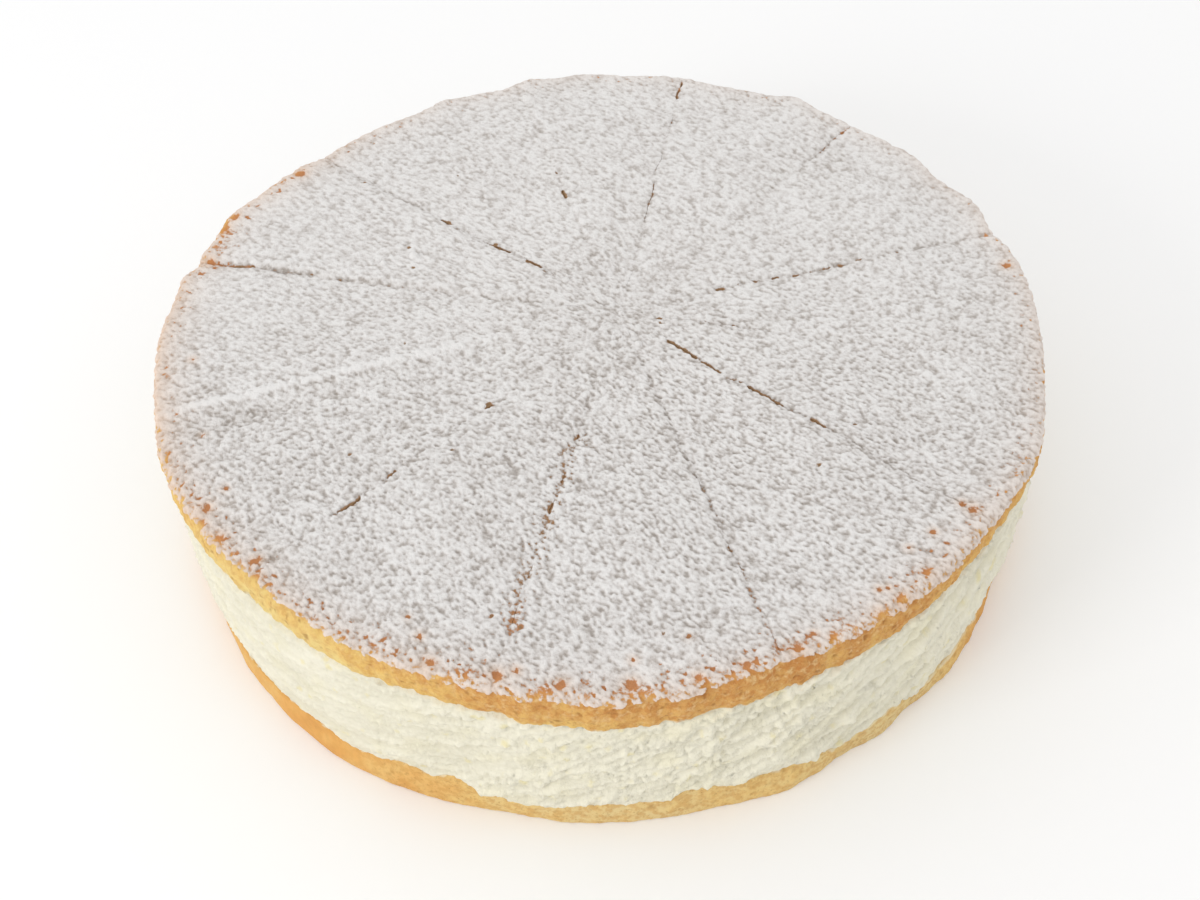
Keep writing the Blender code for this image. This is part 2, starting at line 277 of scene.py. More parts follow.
class Finish:
    """A Principled material with short calls for the few kinds of node the food needs."""

    def __init__(self, name, roughness, specular):
        self.material = bpy.data.materials.new(name)
        self.material.use_nodes = True
        self.tree = self.material.node_tree
        self.shader = self.tree.nodes["Principled BSDF"]
        self.shader.inputs["Roughness"].default_value = roughness
        self.shader.inputs["Specular IOR Level"].default_value = specular
        self.place = self.tree.nodes.new("ShaderNodeTexCoord").outputs["Object"]

    def put(self, value, socket):
        """Links a node's output to a socket, or sets a plain value on it."""
        if isinstance(value, bpy.types.NodeSocket):
            self.tree.links.new(value, socket)
        else:
            socket.default_value = value

    def mark(self, name):
        """The number that a piece keeps for each of its points under this name."""
        node = self.tree.nodes.new("ShaderNodeAttribute")
        node.attribute_name = name
        return node.outputs["Fac"]

    def noise(self, size, detail=2.0, roughness=0.5):
        """Noise through the piece, 0 to 1, with features of about the given size."""
        node = self.tree.nodes.new("ShaderNodeTexNoise")
        node.inputs["Scale"].default_value = 1.0 / size
        node.inputs["Detail"].default_value = detail
        node.inputs["Roughness"].default_value = roughness
        self.put(self.place, node.inputs["Vector"])
        return node.outputs["Fac"]

    def math(self, operation, first, second=0.0, third=0.0):
        """One sum, such as MULTIPLY, of up to three values."""
        node = self.tree.nodes.new("ShaderNodeMath")
        node.operation = operation
        for value, socket in zip((first, second, third), node.inputs):
            self.put(value, socket)
        return node.outputs[0]

    def ease(self, value, low, high, end=1.0):
        """Smooth step of a value from low to high, given out from 0 to an end value."""
        node = self.tree.nodes.new("ShaderNodeMapRange")
        node.interpolation_type = "SMOOTHSTEP"
        for amount, socket in zip((value, low, high, 0.0, end), node.inputs):
            self.put(amount, socket)
        return node.outputs["Result"]

    def blend(self, share, first, second):
        """Colour a share of the way from the first to the second."""
        node = self.tree.nodes.new("ShaderNodeMix")
        node.data_type = "RGBA"
        factor, tint_a, tint_b = node.inputs[0], node.inputs[6], node.inputs[7]
        for value, socket in ((share, factor), (first, tint_a), (second, tint_b)):
            self.put(value, socket)
        return node.outputs[2]

    def lay_over(self, tint, share, strength, second):
        """The colour with a second laid over it, as far as the share times the strength."""
        return self.blend(self.math("MULTIPLY", share, strength), tint, second)

    def ramp(self, value, *stops):
        """Colour ramp through stops of position and colour."""
        node = self.tree.nodes.new("ShaderNodeValToRGB")
        elements = node.color_ramp.elements
        while len(elements) < len(stops):
            elements.new(0.5)
        for element, (position, tint) in zip(elements, stops):
            element.position = position
            element.color = tint
        self.put(value, node.inputs["Fac"])
        return node.outputs["Color"]

    def rough_skin(self, height, depth, strength):
        """Bump of a height pattern, with the depth in metres."""
        node = self.tree.nodes.new("ShaderNodeBump")
        node.inputs["Strength"].default_value = strength
        node.inputs["Distance"].default_value = depth
        self.put(height, node.inputs["Height"])
        self.put(node.outputs["Normal"], self.shader.inputs["Normal"])

    def coat(self, piece, tint):
        """Gives the finish its colour, and the piece its finish in a material slot."""
        self.put(tint, self.shader.inputs["Base Color"])
        piece.data.materials.append(self.material)


def base_edge(angle):
    """Height of the base's upper edge: its table, with two sizes of grain."""
    line = polar(angle, RING_RADIUS, 0.0)
    ragged = 0.70 * grain(line, 3.4 * MM, 12) + 0.45 * grain(line, 1.7 * MM, 13)
    return (through(angle, BASE_EDGE) + ragged) * MM


around = np.arange(BASE_COLUMNS) * 2.0 * math.pi / BASE_COLUMNS
base_line = polar(around, RING_RADIUS, 0.0)
outline = through(around, BASE_OUTLINE) * MM + 0.25 * MM * grain(base_line, 5.0 * MM, 11)
edge = base_edge(around)
side_height = np.linspace(0.0, 1.0, BASE_SIDE_ROWS)[:, None] * edge
near_end = np.minimum(side_height, edge - side_height) / (1.0 * MM)
side_radius = outline - BASE_ROUNDING * np.clip(1.0 - near_end, 0.0, 1.0) ** 2
lean = np.maximum(outline - BASE_MEETS_CREAM, 0.0)
side_radius = side_radius - lean * step(side_height / edge, 0.25, 1.0)
side = polar(around, side_radius, side_height)
relief, pores = crumb_relief(side, 14)
skin_share = np.broadcast_to(through(around, BASE_SKIN), side_height.shape)
relief = relief * (1.0 - 0.75 * skin_share) * step(side_height, -0.3 * MM, 1.2 * MM)
side = side + outward(side) * relief[..., None]
side[..., 2] = np.maximum(side[..., 2], 0.0)
under = polar(around, np.array((0.5, 0.9))[:, None] * outline, 0.0)
ledge = polar(around, outline - lean - np.array((1.4, 3.0))[:, None] * MM, edge)
seat = polar(around, np.array((0.9, 0.5))[:, None] * outline, BASE_HEIGHT)
base_grid = np.concatenate((under, side, ledge, seat))
film_depth = (edge - side_height) / MM + 0.3 + 1.2 * grain(side, 3.0 * MM, 18)
film = 1.0 - step(film_depth / through(around, BASE_FILM), 0.2, 1.0)
base_pores, base_film = np.zeros((2, *base_grid.shape[:2]))
base_pores[2:-4] = pores * (1.0 - 0.7 * skin_share)
base_film[2:-4] = film
base = round_piece(
    "base_sponge_crumb",
    base_grid,
    pore=base_pores,
    film=base_film,
    toast=through(around, BASE_TOAST) + 0.16 * grain(base_grid, 6.0 * MM, 17),
    skin=through(around, BASE_SKIN),
)

base_finish = Finish("pale_sponge", 0.85, 0.25)
base_tint = base_finish.ramp(
    base_finish.mark("toast"),
    (0.0, colour(219, 198, 146)),
    (0.35, colour(223, 189, 121)),
    (0.65, colour(218, 164, 92)),
    (1.0, colour(194, 130, 66)),
)
base_open = base_finish.math("SUBTRACT", 1.0, base_finish.mark("skin"))
mottle = base_finish.ease(base_finish.noise(2.2 * MM, 3.0, 0.65), 0.40, 0.62)
mottle_share = base_finish.math("MULTIPLY_ADD", base_open, 0.26, 0.28)
mottle = base_finish.math("MULTIPLY", mottle, mottle_share)
base_tint = base_finish.blend(mottle, base_tint, colour(196, 146, 78))
base_speck = base_finish.ease(base_finish.noise(0.9 * MM, 2.0), 0.58, 0.70)
base_speck = base_finish.math("MULTIPLY", base_speck, base_open)
base_dark = base_finish.math("MAXIMUM", base_finish.mark("pore"), base_speck)
base_tint = base_finish.lay_over(base_tint, base_dark, 0.42, colour(160, 118, 62))
film_mark = base_finish.mark("film")
base_tint = base_finish.lay_over(base_tint, film_mark, 0.6, colour(228, 220, 192))
base_finish.rough_skin(base_finish.noise(0.8 * MM, 3.0, 0.6), 0.35 * MM, 0.5)
base_finish.coat(base, base_tint)
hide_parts("base_sponge")
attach(base, "root")

# ---------------------------------------------------------------------------------------
# The filling: a thick band of quark cream, set in a ring and freed with a knife. Its wall
# is smooth on the left, torn into small crags at the front and smeared aslant on the right.
# ---------------------------------------------------------------------------------------
CREAM_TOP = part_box("quark_cream")[1].z
LID_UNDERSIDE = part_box("lid_wedge_01")[0].z
CREAM_COLUMNS = 1340
CREAM_ROWS = 66
CREAM_ROUNDING = 0.5 * MM
CREAM_OUTLINE = (
    (20, 139.8), (60, 140.0), (100, 139.7), (122, 139.0), (140, 139.2), (170, 140.0),
    (198, 140.2), (208, 140.1), (216, 140.0), (226, 140.3), (245, 140.5), (262, 140.7),
    (276, 140.6), (290, 140.4), (302, 140.2), (314, 139.9), (322, 140.0), (328, 140.4),
    (334, 140.7), (340, 140.2), (348, 139.8),
)
# Height at which the cream meets the foot of the lid's side, in mm above the lid's
# underside, and how far the cream is smeared up over that foot.
LID_FOOT = (
    (150, 0.3), (210, 0.8), (222, 1.1), (230, 0.9), (247, 1.2), (256, 0.8), (260, -0.5),
    (268, -1.3), (272, -1.2), (277, -0.6), (281, -0.1), (285, -0.6), (290, -0.1),
    (295, -0.4), (305, -0.8), (315, -1.0), (325, -0.6), (345, 0.2),
)
CREAM_LIP = (
    (180, 0.0), (215, 0.3), (230, 0.4), (243, 0.5), (248, 0.9), (252, 0.6), (257, 0.2),
    (259, 0.0), (286, 0.0), (290, 0.4), (300, 0.4), (312, 0.3), (318, 0.1),
)
LIP_BEND = 2.2 * MM  # how far the wall bends in, behind the foot of the lid
# How far the wall draws in at its own foot, in mm, where the base stands out from under it.
FOOT_TAPER = ((316, 0.0), (323, 0.8), (329, 1.7), (333, 1.1), (337, 0.0))
# How strongly the wall is torn into crags, and how strongly it is smeared.
CREAM_TORN = (
    (60, 0.40), (130, 0.50), (180, 0.20), (236, 0.14), (248, 0.22), (258, 0.75), (272, 1.00),
    (288, 0.95), (300, 0.40), (325, 0.24),
)
CREAM_SMEARED = (
    (60, 0.80), (130, 0.30), (200, 0.30), (255, 0.20), (280, 0.40), (296, 1.00), (330, 1.00),
)
SMEAR_SLOPE = 0.45  # how steeply the smears rise to the right
SMEAR_STEEPEST = math.radians(300.0)  # where they rise that steeply

around = np.arange(CREAM_COLUMNS) * 2.0 * math.pi / CREAM_COLUMNS
cream_line = polar(around, RING_RADIUS, 0.0)
outline = through(around, CREAM_OUTLINE) * MM
foot = base_edge(around) - 0.4 * MM
lip = through(around, LID_FOOT) + through(around, CREAM_LIP)
lip = LID_UNDERSIDE + (lip + 0.6 * grain(cream_line, 3.0 * MM, 21)) * MM
brim = lip + 1.2 * MM
wall_height = foot + np.linspace(0.0, 1.0, CREAM_ROWS)[:, None] * (brim - foot)
wall_angle = np.broadcast_to(around, wall_height.shape)
above_foot = wall_height - foot
wall_radius = outline - CREAM_ROUNDING * (1.0 - step(above_foot, 0.0, 1.0 * MM))
wall_radius = wall_radius - LIP_BEND * step(wall_height - lip, -0.7 * MM, 1.2 * MM)
taper = through(wall_angle, FOOT_TAPER) * (1.0 - step(above_foot, 0.0, 12.0 * MM))
wall_radius = wall_radius - taper * MM
wall = polar(wall_angle, wall_radius, wall_height)

torn_share = through(wall_angle, CREAM_TORN)
smeared_share = through(wall_angle, CREAM_SMEARED)
aslant = wall.copy()
aslant[..., 2] -= SMEAR_SLOPE * RING_RADIUS * np.sin(wall_angle - SMEAR_STEEPEST)
streaks = grain(aslant, (10.0 * MM, 10.0 * MM, 1.5 * MM), 25)
wide_streaks = grain(aslant, (24.0 * MM, 24.0 * MM, 4.5 * MM), 26)
crags = np.abs(grain(aslant, (7.0 * MM, 7.0 * MM, 4.2 * MM), 27))
small_crags = np.abs(grain(wall, 2.6 * MM, 28))
curds = np.abs(grain(wall, 1.6 * MM, 29))
rougher = 1.0 + 0.9 * grain(wall, 14.0 * MM, 32)
pits = step(grain(wall, (6.0 * MM, 6.0 * MM, 3.6 * MM), 33), 0.50, 0.85)
relief = 1.70 * streaks * (0.16 + 0.84 * smeared_share)
relief += 2.30 * wide_streaks * (0.20 + 0.80 * smeared_share)
relief += 1.7 * crags * (0.18 + 0.82 * torn_share) * rougher
relief += 1.6 * small_crags * (0.36 + 0.64 * torn_share) * rougher
relief += 1.1 * curds * (0.75 + 0.25 * torn_share)
relief -= 1.1 * pits * (0.20 + 0.80 * torn_share)
relief -= relief.mean()
shown = step(above_foot, -0.8 * MM, 2.0 * MM) * step(brim - wall_height, 0.0, 1.5 * MM)
wall = wall + outward(wall) * (relief * shown * MM)[..., None]

cream_under = polar(around, np.array((0.5, 0.9))[:, None] * outline, BASE_HEIGHT + 0.3 * MM)
cream_seat = polar(around, outline - 3.2 * MM, foot)[None]
cream_cover = polar(around, np.array((0.975, 0.6))[:, None] * outline, CREAM_TOP)
cream_grid = np.concatenate((cream_under, cream_seat, wall, cream_cover))


def over_cream(values):
    """A mark on the cream's wall, carried over its hidden flat faces as 0."""
    flat = np.zeros((1, CREAM_COLUMNS))
    return np.concatenate((flat, flat, flat, values, flat, flat))


cream = round_piece(
    "quark_cream_wall",
    cream_grid,
    fleck=over_cream(step(grain(wall, 3.4 * MM, 30), 0.40, 0.70)),
    butter=over_cream(step(grain(wall, 9.0 * MM, 31), -0.1, 0.6)),
    # Painted shade: the wall is painted darker where its relief is low and in its pits.
    hollow=over_cream(np.maximum(1.0 - step(relief, -0.9, 0.6), 1.7 * pits * torn_share)),
)

cream_finish = Finish("set_quark_cream", 0.45, 0.3)
cream_tint = colour(238, 233, 213)
for mark, strength, second in (
    ("butter", 0.5, colour(238, 231, 200)),
    # painted shade in the low relief and the pits
    ("hollow", 0.45, colour(207, 201, 177)),
    ("fleck", 0.6, colour(233, 220, 160)),
):
    cream_tint = cream_finish.lay_over(cream_tint, cream_finish.mark(mark), strength, second)
cream_finish.rough_skin(cream_finish.noise(1.2 * MM, 4.0, 0.7), 0.6 * MM, 1.0)
cream_finish.coat(cream, cream_tint)
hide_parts("quark_cream")
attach(cream, "root")

# ---------------------------------------------------------------------------------------
# The lid: a sponge disc about 12 mm thick, browned on top, cut into wedges that lie close
# together. Powdered sugar covers it and bridges most of the cuts. At the rim the sugar
# ends raggedly, its specks of crust grow denser, and golden crumb shows down the side.
# ---------------------------------------------------------------------------------------
LID_TOP = 66.0 * MM
CUT_CENTRE = np.array((7.75, 2.2)) * MM
KERF_HALF = 0.3 * MM
RIM_ROUNDING = 2.4 * MM
LIFT_FADE = 55.0 * MM
TOP_ROWS = 316
TURN_ROWS = 11
FALL_ROWS = 29
COLUMN_STEP = 0.19  # degrees between columns, finer beside the cuts
SHARP_TURN = math.radians(62.0)
CUT_DEPTHS = (0.35, 1.0, 2.4)  # rows of a cut's faces below the lid's skin, in mm
CLOSED_CUT = 0.004 * MM  # half width of a cut where the sugar bridges it

# Each cut: its angle, the height of the lid's top just before and just after it (in mm
# above the lid's own), over how many mm the two heights meet, how deep the soft groove
# over it is in the lid's inner part and at its rim, and how far it bows sideways.
Cut = collections.namedtuple("Cut", "angle before after meets_over inner_groove rim_groove bow")
CUTS = (
    Cut(14.0, -0.1, 0.2, 2.0, 0.40, 0.45, 1.2),
    Cut(47.0, -0.2, 0.3, 2.0, 0.15, 0.50, 0.0),
    Cut(77.0, 0.2, -0.2, 2.0, 0.35, 0.30, 0.0),
    Cut(104.0, 0.3, -0.5, 2.0, 0.30, 0.20, 0.0),
    Cut(138.0, -1.0, 0.2, 2.5, 0.40, 0.40, -2.4),
    Cut(164.5, 0.6, -0.5, 0.8, 0.30, 0.90, 0.0),
    Cut(194.5, 0.6, -0.5, 2.2, 0.05, 0.05, 0.0),
    Cut(222.5, 0.0, 0.3, 2.0, 0.20, 0.35, 0.0),
    Cut(253.8, 0.1, -0.1, 2.0, 0.30, 0.30, 0.0),
    Cut(285.0, 0.2, -0.2, 2.0, 0.50, 0.30, 0.0),
    Cut(317.0, 0.3, -0.3, 2.0, 0.40, 0.30, -0.7),
    Cut(346.0, -0.2, 0.1, 2.0, 0.30, 0.15, 0.0),
)
GROOVE_PAINTED_SHADE = 0.60  # painted shade: how much darker a groove's powder is painted, for each mm of its depth

# Outline of the lid: angle round the cake, then radius in mm.
LID_OUTLINE = (
    (2, 140.7), (10, 141.2), (15, 139.7), (20, 142.0), (28, 138.5), (35, 140.8), (39, 139.8),
    (46, 138.7), (50, 139.1), (56, 142.0), (60, 138.9), (70, 138.7), (76, 140.2), (81, 139.7),
    (90, 141.7), (95, 139.7), (98, 140.7), (103, 138.3), (108, 139.0), (112, 140.2),
    (118, 137.3), (129, 137.9), (136, 136.5), (140, 137.9), (147, 138.6), (153, 142.0),
    (160, 140.3), (164, 140.1), (166.5, 142.5), (170, 140.8), (176, 140.5), (184, 139.9),
    (194, 139.5), (198, 140.2), (212, 139.8), (219, 139.0), (225, 138.8), (232, 139.3),
    (240, 139.9), (257, 140.0), (260.5, 141.7), (264, 141.3), (268.5, 142.3), (275, 141.7),
    (278, 142.2), (281, 141.1), (284, 141.5), (288, 140.4), (291, 141.0), (295, 140.4),
    (302, 140.1), (310, 139.8), (316, 139.4), (324, 140.0), (330, 141.3), (335, 141.8),
    (339, 140.5), (344, 139.9), (354, 139.6),
)

# Where a cut shows through the sugar: its angle, then stretches of start and end distance
# from the cut centre and half width, all in millimetres.
OPEN_CUTS = {
    14.0: (
        (33, 36, 0.26), (40, 42, 0.13), (45, 48, 0.14), (52, 55, 0.17), (59, 62, 0.15),
        (65, 67, 0.12), (70, 73, 0.14), (75, 77, 0.11), (81, 84, 0.13), (94, 97, 0.07),
    ),
    47.0: ((108, 134, 0.08),),
    77.0: ((48, 69, 0.08), (75, 86, 0.07), (104, 110, 0.07), (121, 134, 0.12)),
    104.0: ((64, 69, 0.30), (78, 80, 0.12)),
    138.0: ((29, 31, 0.10), (35, 42, 0.24), (49, 58, 0.26), (75, 80, 0.22)),
    164.5: ((88, 97, 0.05), (104, 120, 0.055), (124, 140, 0.14)),
    194.5: (),
    222.5: ((55, 57.5, 0.40), (92, 96, 0.14), (105.5, 114, 0.20)),
    253.8: ((53, 55, 0.18), (69, 73, 0.09), (79, 85, 0.11), (103, 108, 0.08), (117, 123, 0.08)),
    285.0: ((72, 78, 0.06), (99, 102, 0.08), (106, 109, 0.08), (130, 137, 0.06)),
    317.0: ((20, 32, 0.26), (34, 42, 0.22), (45, 49, 0.15), (51, 65, 0.26), (74, 80, 0.15)),
    346.0: ((12, 14, 0.18), (27, 29, 0.12), (36, 38, 0.10), (43, 46, 0.10)),
}
# Where the sugar is broken along a cut: its angle, start and end distance, how far to each
# side, and how strongly.
BROKEN_SUGAR = (
    (253.8, 52, 128, 4.5, 0.46), (222.5, 86, 118, 2.0, 0.28), (285.0, 68, 136, 1.2, 0.34),
    (138.0, 26, 84, 1.2, 0.30), (317.0, 18, 84, 1.1, 0.35), (346.0, 10, 48, 1.2, 0.30),
    (164.5, 56, 137, 0.8, 0.28), (77.0, 44, 134, 0.8, 0.20), (104.0, 60, 92, 1.0, 0.22),
    (14.0, 28, 100, 0.9, 0.32), (47.0, 100, 134, 0.8, 0.16), (250.5, 128, 138, 6.0, 0.16),
)

# Spots where the crust shows, from air bubbles and fallen sugar: x, y and radius in mm.
BARE_SPOTS = (
    (-61.6, 40.5, 0.9), (-59.8, 29.9, 0.8), (-46.5, 80.4, 0.7), (-79.7, 79.1, 0.7),
    (62.0, -67.1, 1.0), (135.1, 15.9, 1.2), (-44.3, -53.6, 0.8), (-74.6, -52.5, 0.7),
    (20.6, -3.3, 0.9), (-109.6, -63.1, 0.8), (-119.6, -41.0, 0.7), (-127.4, -8.9, 0.8),
    (-60.5, -7.1, 0.7), (74.8, -51.5, 0.6), (-31.7, -113.5, 0.6), (-24.1, -117.3, 0.7),
    (-33.7, -34.6, 1.3), (-49.0, 54.2, 0.8), (-32.6, 41.8, 0.7), (-21.5, 31.1, 0.8),
    # along the rim, from the far left over the front to the right
    (-102.9, 84.9, 1.5), (-127.5, 57.0, 1.5), (-123.8, 62.5, 1.0), (-129.5, 40.6, 1.1),
    (-114.0, -70.3, 1.2), (-115.0, -76.2, 1.0), (-108.8, -82.0, 1.2), (-97.0, -91.0, 0.9),
    (-96.3, -97.0, 0.9), (-54.0, -112.3, 0.7), (-50.6, -118.8, 0.8), (-47.6, -127.5, 1.1),
    (-30.2, -132.0, 1.2), (-25.3, -131.0, 0.9), (-13.7, -135.8, 1.1), (4.2, -136.6, 1.2),
    (5.0, -129.3, 0.8), (13.4, -121.8, 0.7), (19.9, -123.4, 0.8), (21.4, -136.0, 1.0),
    (34.0, -133.5, 1.0), (47.7, -129.0, 1.1), (52.5, -124.4, 0.7), (57.3, -125.5, 0.7),
    (71.3, -119.8, 1.3), (77.2, -115.0, 1.1), (71.6, -111.7, 0.7), (74.2, -111.5, 0.7),
    (85.1, -106.9, 0.8), (89.6, -93.3, 0.8), (81.9, -98.5, 0.7), (99.6, -83.6, 0.9),
    (102.3, -86.0, 1.2),
)
# The dusting's lumps are longer along one direction, in radians, than across it.
LUMP_HEADING = math.radians(-43.0)
LUMP_CELLS = np.array((1.35, 0.92, 1.0)) * MM
LUMPS_AT_FRONT, LUMPS_AT_BACK = 1.12, 1.50  # their size, as shares of the cells above
# Smooth crumbs of caked sugar on top: x, y and radius in mm.
SUGAR_CRUMBS = (
    (8.3, 2.3, 1.0), (11.5, -7.8, 0.8), (13.1, -12.7, 1.2), (-59.9, 35.8, 1.7),
    (-9.2, 19.7, 1.3), (-70.0, 33.0, 1.2), (63.0, 92.0, 1.4),
)
# The cut with a raised edge, and a shallow hollow beside it: how far both lie from the
# cut, and their half widths.
RAISED_CUT = math.radians(194.5)
EDGE_MIDDLE, EDGE_HALF_WIDTH, EDGE_HEIGHT = -2.5 * MM, 1.3 * MM, 0.5 * MM
HOLLOW_MIDDLE, HOLLOW_HALF_WIDTH, HOLLOW_DEPTH = 6.0 * MM, 4.5 * MM, 0.8 * MM
HOLLOW_DISTANCE, HOLLOW_HALF_LENGTH = 118.0 * MM, 20.0 * MM

# How far in from the crust's edge the sugar stops, in mm; below 0 it runs down over it.
SUGAR_STOP = (
    (20, -1.0), (120, -1.4), (150, -1.0), (157, 0.8), (163, -1.0), (176, -1.8), (192, -1.4),
    (205, -1.4), (215, -0.6), (227, 0.7), (235, 0.8), (240, 0.2), (246, -0.6), (252, -1.4),
    (262, -1.2), (281, -1.2), (285, 0.2), (290, 0.4), (294, -1.6), (300, -1.2), (304, -1.8),
    (310, -3.2), (318, -3.0), (330, -2.0), (345, -0.8),
)
DOT_SIZE = 1.6 * MM  # lattice of the single dots of crust just inside the rim
# How thin the sugar gets at the rim, which lets specks of the crust show.
RIM_SPECKS = (
    (0, 0.35), (60, 0.28), (85, 0.40), (100, 0.30), (135, 0.44), (140, 0.60), (146, 0.46),
    (157, 0.85), (164, 0.64), (176, 0.44), (192, 0.40), (210, 0.64), (228, 0.60), (245, 0.60),
    (262, 0.64), (296, 0.66), (306, 0.50), (315, 0.38), (335, 0.34),
)
# How much the crust tints thin sugar at the rim, without specks.
RIM_TINT = (
    (0, 0.25), (60, 0.15), (110, 0.20), (150, 0.55), (175, 0.60), (205, 0.60), (225, 0.50),
    (260, 0.38), (300, 0.40), (330, 0.25),
)
# How brown the crumb is down the side, from 0, yellow, to 1, brown.
CRUMB_TOAST = (
    (20, 0.50), (100, 0.55), (180, 0.45), (208, 0.22), (225, 0.08), (236, 0.14), (244, 0.30),
    (251, 0.42), (256, 0.60), (264, 0.46), (276, 0.64), (288, 0.66), (291, 0.80), (294, 0.50),
    (297, 0.74), (300, 0.50), (304, 0.66), (314, 0.52), (330, 0.50),
)
# How much of the lid's foot a thin film of cream covers, in mm.
CRUMB_FILM = (
    (100, 1.0), (200, 2.0), (225, 2.6), (238, 2.2), (248, 1.2), (258, 0.7), (285, 0.7),
    (300, 1.0), (320, 1.4),
)
# What the finish reads on the faces inside a cut: bare, painted dark brown as shade inside the
# narrow cut, and a little open.
CUT_FACE_MARKS = {
    "sugar": -1.0, "heap": 0.0, "toast": 1.0, "crust": 0.7, "browned": 1.0, "pore": 0.3,
    "film": 0.0, "tint": 0.0,
}


def lid_swell(x, y):
    """Slow rise and fall of the baked top: a few long waves in different directions."""
    total = np.zeros_like(x)
    rng = np.random.default_rng(31)
    for _ in range(6):
        heading = rng.uniform(0.0, math.pi)
        length = rng.uniform(0.045, 0.095)
        phase = rng.uniform(0.0, 2.0 * math.pi)
        along = x * math.cos(heading) + y * math.sin(heading)
        total = total + np.cos(2.0 * math.pi * along / length + phase)
    return 0.35 * MM * total / math.sqrt(3.0)


def along_cut(cut, distance, cell, seed):
    """Random wander along a cut, about -1 to 1, the same for both its wedges."""
    line = np.stack((distance, np.full_like(distance, cut), np.zeros_like(distance)), axis=-1)
    return grain(line, (cell, 7.3, 1.0), seed)


def opening(cut, distance):
    """Half width of a cut: next to nothing, but for its open stretches with uneven lips."""
    width = np.full_like(distance, CLOSED_CUT)
    ragged = 1.0 + 0.8 * along_cut(cut, distance, 2.2 * MM, 41)
    for start, end, half_width in OPEN_CUTS[cut]:
        inside = step(distance, (start - 0.6) * MM, (start + 0.9) * MM)
        inside = inside * (1.0 - step(distance, (end - 0.9) * MM, (end + 0.6) * MM))
        width = np.maximum(width, half_width * MM * inside * ragged)
    return width


def ray_to_outline(headings):
    """How far a ray from the cut centre runs before it is at the lid's outline: the
    outline's radius at the place where the ray leaves a plain circle."""
    along = CUT_CENTRE[0] * np.cos(headings) + CUT_CENTRE[1] * np.sin(headings)
    across = CUT_CENTRE[0] * np.sin(headings) - CUT_CENTRE[1] * np.cos(headings)
    leaves_at = headings - np.arcsin(across / RING_RADIUS)
    rim_line = polar(leaves_at, RING_RADIUS, 0.0)
    reach = through(leaves_at, LID_OUTLINE) * MM
    reach = reach + 0.60 * MM * grain(rim_line, 3.6 * MM, 33)
    return np.sqrt(reach**2 - across**2) - along


def wedge_section():
    """A wedge's section in rows from tip to rim and back. Its top is level, its rim turns
    down by a quarter circle, its side falls with a slight belly and its back is flat.
    Each row has its share of the distance to the rim's rounding, distance inside the rim,
    share of the height and drop below the top, and the outward and upward parts of the
    direction in which the section faces."""
    top = np.linspace(0.0004, 1.0, TOP_ROWS)
    turn = np.linspace(0.0, math.pi / 2.0, TURN_ROWS + 1)[1:]
    fall = np.linspace(0.0, 1.0, FALL_ROWS + 1)[1:]
    back = np.array((1.0, 1.0, 0.75, 0.5, 0.25, 0.0004))
    ones = np.ones_like
    zeros = np.zeros_like
    parts = {
        "share": (top, ones(turn), ones(fall), back),
        "inset": (
            ones(top) * RIM_ROUNDING,
            RIM_ROUNDING * (1.0 - np.sin(turn)),
            (-0.35 * np.sin(math.pi * fall) + 0.7 * fall**4) * MM,
            np.array((1.8, 4.0, 0.0, 0.0, 0.0, 0.0)) * MM,
        ),
        "height_share": (ones(top), ones(turn), 1.0 - fall, zeros(back)),
        "drop": (
            zeros(top),
            RIM_ROUNDING * (1.0 - np.cos(turn)),
            RIM_ROUNDING * (1.0 - fall),
            zeros(back),
        ),
        "radial": (zeros(top), np.sin(turn), ones(fall), zeros(back)),
        "upward": (ones(top), np.cos(turn), zeros(fall), -ones(back)),
    }
    return {part: np.concatenate(rows)[:, None] for part, rows in parts.items()}


def wedge_headings(start, end):
    """Directions of the columns across a wedge, in radians, closer together at its cuts."""
    near = np.array((0.0, 0.06, 0.14, 0.24, 0.36, 0.50, 0.66))
    end = start + (end - start) % 360.0
    count = int(round((end - start - 2.0 * near[-1]) / COLUMN_STEP))
    middle = np.linspace(start + near[-1], end - near[-1], count + 1)[1:-1]
    return np.radians(np.concatenate((start + near, middle, end - near[::-1])))


def wedge_piece(name, grid, **marks):
    """Closed piece from a wedge's grid: its rows run from the tip over the rim and back
    underneath, its columns from deep in one cut face over the top to deep in the other.
    One face each closes the middle of the two cuts and the tip."""
    rows, columns = grid.shape[:2]
    here = np.arange(rows * columns).reshape(rows, columns)
    skin = np.stack((here[:-1, :-1], here[1:, :-1], here[1:, 1:], here[:-1, 1:]), axis=-1)
    start_cut = here[::-1, 0][None]
    end_cut = here[:, -1][None]
    tip = np.concatenate((here[0], here[-1, ::-1]))[None]
    piece = finished_mesh(name, grid.reshape(-1, 3), [skin.reshape(-1, 4), start_cut, end_cut, tip])
    piece.data.set_sharp_from_angle(angle=SHARP_TURN)
    for mark, values in marks.items():
        store_mark(piece, mark, values.ravel())
    return piece


def sugar_lumps(points):
    """How high the dusting stands, 0 in the hollows to 1 on the lumps, whose tops level
    off: a smooth step of three sizes of grain, all drawn out in one direction and a
    little larger towards the back."""
    along, across = math.cos(LUMP_HEADING), math.sin(LUMP_HEADING)
    towards_back = step(points[..., 1:2], -90.0 * MM, 130.0 * MM)
    points = points / (LUMPS_AT_FRONT + (LUMPS_AT_BACK - LUMPS_AT_FRONT) * towards_back)
    turned = np.stack(
        (
            points[..., 0] * along + points[..., 1] * across,
            points[..., 1] * along - points[..., 0] * across,
            points[..., 2],
        ),
        axis=-1,
    )
    coarse = grain(turned, 1.8 * LUMP_CELLS, 51)
    fine = grain(turned, 1.05 * LUMP_CELLS, 52)
    finest = grain(turned, 0.8 * LUMP_CELLS, 50)
    return step(0.36 * coarse + 0.62 * fine + 0.46 * finest, -0.66, 0.44)


